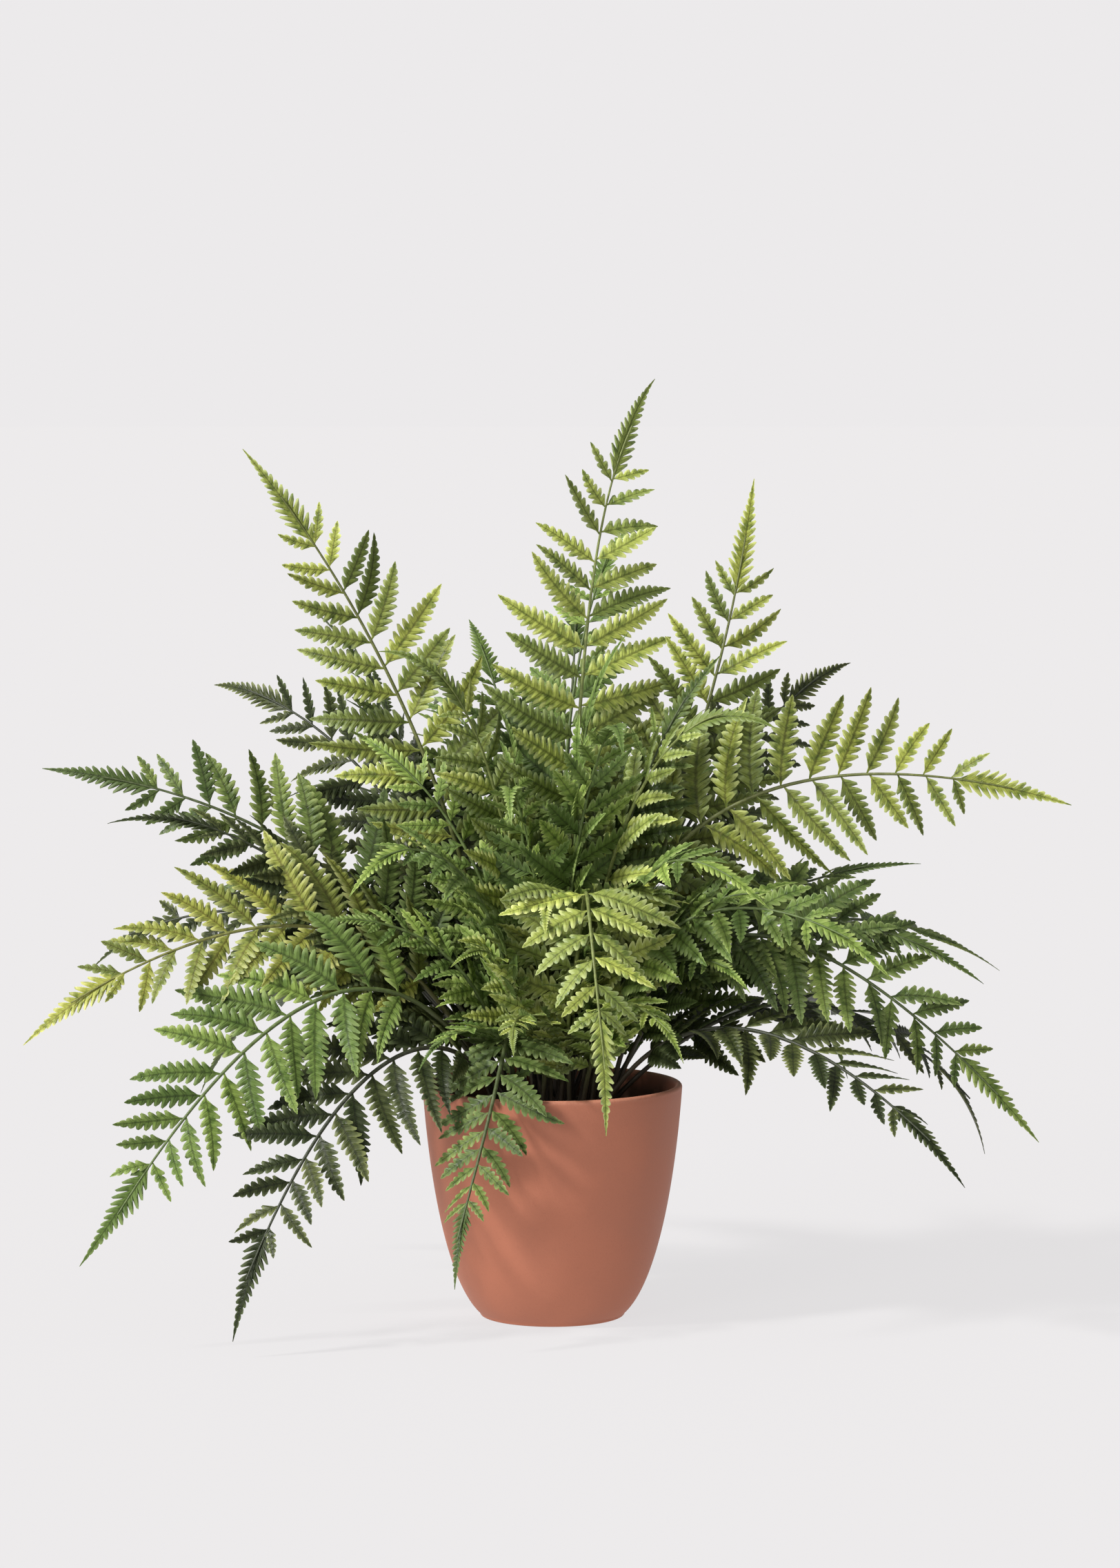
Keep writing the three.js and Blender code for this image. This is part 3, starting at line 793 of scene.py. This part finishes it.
def blade_plan(length, settings):
    """How large a blade is beside a full one, and where its pairs are. The end leaflet starts at the last.

    Measured from the tip, the pairs are at the shares 1 - 0.13 u + 0.0015 u^2 of the blade, with u from
    0 to 6, so they close up a little towards the tip.
    """
    blade = min(settings.blade_length, settings.blade_share * length)
    spread = np.linspace(0, 6, settings.pairs)
    return blade / settings.blade_length, length - blade * (1 - 0.13 * spread + 0.0015 * spread ** 2)


def frond(arch, settings, draws):
    """All the closed shells of one frond's blade: the paired leaflets and the end leaflet.

    With s from 0 at the lowest pair to 1 at the highest, a leaflet's usual length is the longest one's,
    scaled with the blade, times 0.84 + 0.16 min(1, 5 s) - 0.62 s^2.2. Its angle to the stalk falls by
    18 s degrees.
    """
    scale, places = blade_plan(arch.length, settings)
    rise = draws.uniform(*RISES)
    lie = draws.uniform(*LIES)
    offset = 0.0015     # of one leaflet of a pair from the other, along the stalk
    parts = []
    for share, place in zip(np.linspace(0, 1, len(places)), places):
        full = settings.leaflet_length * scale * (0.84 + 0.16 * min(1, 5 * share) - 0.62 * share ** 2.2)
        width = settings.leaflet_width * full
        for side in (-1, 1):
            length = full * draws.uniform(*LENGTHS)
            lobes = max(5, round(length / settings.lobe_pitch / max(scale, 0.95)))
            curl = draws.uniform(*CURLS)
            shape = mirrored(leaflet(length, width, lobes, curl, draws, settings), -side)
            angle = side * math.radians(lie - 18 * share + draws.uniform(*TURNS))
            shape["points"] = turn_flat(shape["points"], angle, math.radians(draws.uniform(*TWISTS)))
            shape["points"] = raised(shape["points"], rise + draws.uniform(*TILTS))
            shape["points"][..., 1] += place + (offset if side > 0 else 0)
            parts.append(shape)
    end, width = arch.length - places[-1], settings.end_width * scale
    curl = draws.uniform(*END_CURLS)
    shape = leaflet(end, width, 14, curl, draws, settings, notch=0.22, taper=(1.15, 1.2), lean=0.9)
    shape["points"][..., 1] += places[-1]
    parts.append(shape)
    return parts


def stalk(arch, settings):
    """A round rod along +Y that ends halfway up the end leaflet.

    At the share s of its length its radius is 1 - 0.68 s^2 + 0.5 exp(-50 s) of the stalk's radius, so it
    tapers, and is wider where it is rooted.
    """
    _, places = blade_plan(arch.length, settings)
    reach = places[-1] + 0.5 * (arch.length - places[-1])
    share = np.linspace(0, 1, 44)
    radius = settings.stalk_radius * (1 - 0.68 * share ** 2 + 0.5 * np.exp(-share / 0.02))
    angle = np.linspace(0, 2 * np.pi, 8, endpoint=False)
    points = np.stack([
        radius[:, None] * np.cos(angle), share[:, None] * reach + 0 * angle, -radius[:, None] * np.sin(angle),
    ], axis=-1)
    flat = 0 * points[..., 0]
    return {"points": points, "across": flat, "lobe": flat, "along": share[:, None] + flat}


class FERN_OT_fronds(bpy.types.Operator):
    """Grow every frond along its arch"""
    bl_idname = "fern.fronds"
    bl_label = "Fronds"

    def execute(self, context):
        settings = context.scene.fern_fronds
        leaves = {tone: leaf_material(tone) for tone in TONES}
        stalks = {tone: stalk_material(tone) for tone in TONES}
        draws = np.random.default_rng(settings.seed)
        for ring, foot_radius, rows, slot in RINGS:
            for index, row in enumerate(rows, 1):
                arch = Arch(foot_radius, row, draws)
                materials = [leaves[arch.tone], stalks[arch.tone]]
                self.grow(f"{ring}_{index:02d}", slot, arch, materials, settings, draws)
        return {"FINISHED"}

    def grow(self, node, slot, arch, materials, settings, draws):
        """Makes one frond a piece, with the leaf's shares and a tint for each leaflet as attributes."""
        shapes = [stalk(arch, settings)] + frond(arch, settings, draws)
        points, faces, face_materials = [], [], []
        values = {"across": [], "lobe": [], "along": [], "tint": []}
        first = 0
        for shape in shapes:
            columns, around = shape["points"].shape[:2]
            bent = arch.bend(shape["points"].reshape(-1, 3))
            shell = outward(bent - bent.mean(axis=0), tube_faces(columns, around))
            points.append(bent)
            faces.append(shell + first)
            face_materials.append(np.full(len(shell), 1 if shape is shapes[0] else 0))
            for key in ("across", "lobe", "along"):
                values[key].append(shape[key].ravel())
            values["tint"].append(np.full(len(bent), draws.uniform(0, 1)))
            first += len(bent)
        attributes = {key: np.concatenate(value) for key, value in values.items()}
        make_piece(
            node.replace("frond", "fern_frond"), np.vstack(points), np.vstack(faces), node,
            materials, attributes, np.concatenate(face_materials),
        )


# Stage

LENS = 116.3                            # millimetres, on a sensor 36 mm wide
CAMERA_PLACE = (0.0044, -2.9, 0.55)
CAMERA_DIP = 4.77                       # degrees below level
LAMP_COLOUR = (1.0, 0.985, 0.96)
# Breadth, tilt and turn of the lamps, in degrees.
KEY_LAMP = (7, 48, -63)
FRONT_LAMP = (24, 72, -38)


class FERN_OT_stage(bpy.types.Operator):
    """Set the floor, the light and the camera"""
    bl_idname = "fern.stage"
    bl_label = "Stage"

    def execute(self, context):
        settings = context.scene.fern_stage
        self.add_camera(context)
        self.add_floor(context, settings)
        self.add_light(context, settings)
        return {"FINISHED"}

    def add_camera(self, context):
        """A long lens, a little above the plant and looking slightly down."""
        lens = bpy.data.cameras.new("fern_camera")
        lens.lens = LENS
        lens.sensor_width = 36.0
        lens.clip_end = 200.0
        camera = bpy.data.objects.new("fern_camera", lens)
        camera.location = CAMERA_PLACE
        camera.rotation_euler = (math.radians(90 - CAMERA_DIP), 0, 0)
        context.scene.collection.objects.link(camera)
        context.scene.camera = camera

    def add_floor(self, context, settings):
        """A wide round floor, turned from a flat profile, that glows so that its shadows stay pale."""
        edge, underside, around = 40.0, -0.01, 96
        profile = np.array([
            [PINHOLE, 0.0], [1.0, 0.0], [6.0, 0.0], [edge, 0.0], [edge, underside], [PINHOLE, underside],
        ])
        points = turned(profile, around).reshape(-1, 3)
        faces = outward(points, tube_faces(len(profile), around))
        mesh = bpy.data.meshes.new("studio_floor")
        mesh.from_pydata(points.tolist(), [], faces.tolist())
        material, tree, surface = new_material("Studio Floor")
        surface.inputs["Base Color"].default_value = (*settings.floor, 1.0)
        surface.inputs["Roughness"].default_value = 0.9
        surface.inputs["Specular IOR Level"].default_value = 0.0
        surface.inputs["Emission Color"].default_value = (*settings.backdrop, 1.0)
        surface.inputs["Emission Strength"].default_value = settings.glow
        mesh.materials.append(material)
        floor = bpy.data.objects.new("studio_floor", mesh)
        context.scene.collection.objects.link(floor)

    def add_lamp(self, context, name, energy, breadth, tilt, turn):
        """A sun lamp tilted from straight down, then turned about +Z, all in degrees."""
        lamp = bpy.data.lights.new(name, "SUN")
        lamp.energy = energy
        lamp.angle = math.radians(breadth)
        lamp.color = LAMP_COLOUR
        placed = bpy.data.objects.new(name, lamp)
        placed.rotation_euler = (math.radians(tilt), 0, math.radians(turn))
        context.scene.collection.objects.link(placed)

    def add_light(self, context, settings):
        """A key from high on the left, a broad low front light, and an even fill, as in a white studio."""
        self.add_lamp(context, "key_light", settings.key, *KEY_LAMP)
        self.add_lamp(context, "front_light", settings.front, *FRONT_LAMP)
        world = bpy.data.worlds.new("studio_fill")
        world.use_nodes = True
        tree = world.node_tree
        fill = tree.nodes["Background"]
        fill.inputs["Color"].default_value = (1.0, 1.0, 1.0, 1.0)
        fill.inputs["Strength"].default_value = settings.fill
        shown = add_node(tree, "ShaderNodeBackground")
        shown.inputs["Color"].default_value = (*settings.backdrop, 1.0)
        choice = add_node(tree, "ShaderNodeMixShader")
        link(tree, add_node(tree, "ShaderNodeLightPath").outputs["Is Camera Ray"], choice.inputs["Fac"])
        link(tree, fill.outputs["Background"], choice.inputs[1])
        link(tree, shown.outputs["Background"], choice.inputs[2])
        link(tree, choice.outputs["Shader"], tree.nodes["World Output"].inputs["Surface"])
        context.scene.world = world
        context.scene.view_settings.view_transform = "Standard"


class FERN_PT_panel(bpy.types.Panel):
    """Lists the steps that build the fern"""
    bl_idname = "FERN_PT_panel"
    bl_label = "Potted Fern"
    bl_space_type = "VIEW_3D"
    bl_region_type = "UI"
    bl_category = "Fern"

    def draw(self, context):
        layout = self.layout
        for operator in OPERATORS:
            layout.operator(operator.bl_idname)
        for settings in (context.scene.fern_pot, context.scene.fern_fronds, context.scene.fern_stage):
            column = layout.column()
            for key in settings.__annotations__:
                column.prop(settings, key)


SETTINGS = {"fern_pot": FernPotSettings, "fern_fronds": FernFrondSettings, "fern_stage": FernStageSettings}
OPERATORS = (FERN_OT_stage, FERN_OT_pot, FERN_OT_soil, FERN_OT_crown, FERN_OT_fronds)


def register():
    for kind in (*SETTINGS.values(), *OPERATORS, FERN_PT_panel):
        bpy.utils.register_class(kind)
    for key, kind in SETTINGS.items():
        setattr(bpy.types.Scene, key, PointerProperty(type=kind))


def unregister():
    for key in SETTINGS:
        delattr(bpy.types.Scene, key)
    for kind in (FERN_PT_panel, *reversed(OPERATORS), *reversed(SETTINGS.values())):
        bpy.utils.unregister_class(kind)


def main():
    register()
    bpy.ops.fern.stage()
    bpy.ops.fern.pot()
    bpy.ops.fern.soil()
    bpy.ops.fern.crown()
    bpy.ops.fern.fronds()


if __name__ == "__main__":
    main()
